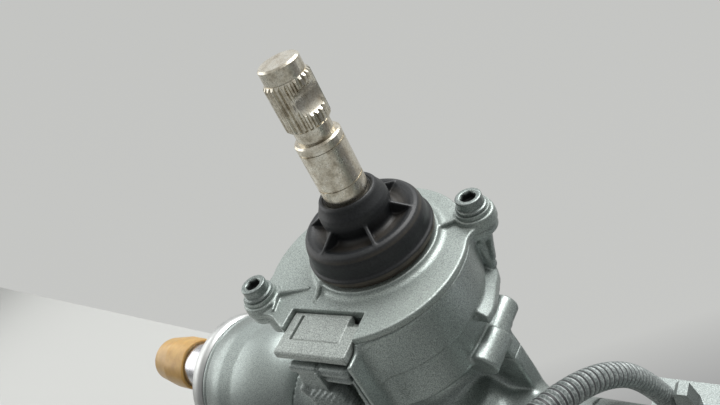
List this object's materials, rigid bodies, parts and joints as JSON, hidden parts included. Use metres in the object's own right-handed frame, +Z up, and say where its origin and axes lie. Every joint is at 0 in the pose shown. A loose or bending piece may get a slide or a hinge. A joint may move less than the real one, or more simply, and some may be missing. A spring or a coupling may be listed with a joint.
{
  "type": "electric power steering rack",
  "caption": "Steering rack: cast housing with a pinion tower and torque sensor, toothed bar, and a belt-driven ball nut turned by a motor beside the bar.",
  "frame": {"origin": "mouth of the upper mounting hole beside the pinion tower, on the rear mounting face", "axes": "+X along the rack bar from the pinion's end to the motor's end, +Y out of the mounting face towards the subframe, +Z up along the steering column's side"},
  "size_m": [0.7363, 0.1504, 0.2685],
  "materials": {
    "cast_paint": "granular metallic paint over cast aluminium, satin",
    "cast_cover": "granular metallic paint over cast aluminium, satin",
    "case_paint": "metallic paint over cast aluminium, satin",
    "bar_steel": "ground and hardened, satin",
    "shaft_steel": "turned, satin with light oil",
    "gear_steel": "hobbed, satin",
    "bearing_steel": "polished",
    "spring_steel": "phosphated, satin",
    "screw_zinc": "zinc plated, satin",
    "yoke_alu": "machined, satin",
    "liner_ptfe": "low-friction lining, matte",
    "bush_plastic": "matte",
    "stop_rubber": "matte",
    "boot_rubber": "satin moulded, dusty at the lip",
    "seal_rubber": "matte",
    "cap_plastic": "soft moulded, translucent tan",
    "sensor_plastic": "glass filled, matte",
    "plug_plastic": "oversprayed moulded plastic, satin",
    "harness_plastic": "corrugated, oversprayed, satin",
    "magnet": "sintered, matte",
    "copper": "enamelled winding, gloss",
    "lamination": "stacked sheet, satin",
    "belt_rubber": "matte",
    "motor_can": "black electrocoat, satin",
    "ecu_alu": "die cast, satin",
    "board": "solder resist, satin"
  },
  "bodies": {
    "housing": {"rack_housing": "cast_paint", "left_bar_bush": "bush_plastic", "right_bar_bush": "bush_plastic", "left_end_stop": "stop_rubber", "right_end_stop": "stop_rubber", "torque_sensor": "sensor_plastic", "sensor_connector": "plug_plastic", "sensor_cover": "cast_cover", "cover_screws": "screw_zinc", "cover_washers": "screw_zinc", "dust_boot": "boot_rubber", "shaft_seal": "seal_rubber", "shaft_needle_bearing": "bearing_steel", "pinion_bearing_outer_race": "bearing_steel", "pinion_bearing_balls": "bearing_steel", "bearing_retainer_ring": "gear_steel", "pinion_needle_bearing": "bearing_steel", "pinion_end_cap": "yoke_alu", "yoke": "yoke_alu", "yoke_liner": "liner_ptfe", "yoke_o_ring": "seal_rubber", "yoke_springs": "spring_steel", "yoke_plug": "yoke_alu", "gear_case": "case_paint", "case_cover": "case_paint", "case_bolts": "screw_zinc", "nut_bearing_outer_race": "bearing_steel", "nut_bearing_balls": "bearing_steel", "nut_bearing_carrier": "gear_steel", "drive_belt": "belt_rubber", "motor_housing": "motor_can", "motor_front_bearing": "bearing_steel", "motor_rear_bearing": "bearing_steel", "motor_stator": "lamination", "motor_windings": "copper", "motor_bolts": "screw_zinc", "ecu_housing": "ecu_alu", "ecu_cover": "ecu_alu", "ecu_board": "board", "ecu_header": "sensor_plastic", "harness_plug": "plug_plastic", "ecu_plug": "plug_plastic", "conduit": "harness_plastic"},
    "rack": {"rack_bar": "bar_steel", "left_bar_cap": "cap_plastic", "right_bar_cap": "cap_plastic"},
    "pinion": {"pinion_shaft": "gear_steel", "sensor_stator": "lamination", "pinion_bearing_inner_race": "bearing_steel", "pinion_nut": "screw_zinc"},
    "input_shaft": {"input_shaft": "shaft_steel", "torsion_bar": "spring_steel", "torsion_pin": "bearing_steel", "magnet_ring": "magnet"},
    "ball_nut": {"ball_nut": "gear_steel", "nut_pulley": "lamination", "nut_bearing_inner_race": "bearing_steel"},
    "motor_rotor": {"motor_rotor": "lamination", "motor_pulley": "lamination"}
  },
  "joints": [
    {"name": "rack_slide", "type": "slide", "parent": "housing", "child": "rack", "axis": [1, 0, 0], "range_m": [-0.072, 0.072]},
    {"name": "motor_turn", "type": "hinge", "parent": "housing", "child": "motor_rotor", "pos_m": [0.16, 0.024, -0.103], "axis": [1, 0, 0], "range_deg": [-9258, 9258]},
    {"name": "nut_turn", "type": "hinge", "parent": "housing", "child": "ball_nut", "pos_m": [0.255, -0.028, -0.043], "axis": [1, 0, 0], "range_deg": [-3704, 3704]},
    {"name": "pinion_turn", "type": "hinge", "parent": "housing", "child": "pinion", "pos_m": [-0.04, -0.012, -0.043], "axis": [0.1063, 0, 0.9943], "range_deg": [-513.5, 513.5]},
    {"name": "torsion", "type": "hinge", "parent": "pinion", "child": "input_shaft", "pos_m": [-0.03066, -0.012, 0.0444], "axis": [0.1063, 0, 0.9943], "range_deg": [-4.5, 4.5], "stiffness_Nm_per_rad": 110}
  ],
  "couplings": [
    {"joint": "motor_turn", "follows": "rack_slide", "rad_per_m": -2244},
    {"joint": "nut_turn", "follows": "rack_slide", "rad_per_m": -897.6},
    {"joint": "pinion_turn", "follows": "rack_slide", "rad_per_m": 124.29}
  ]
}
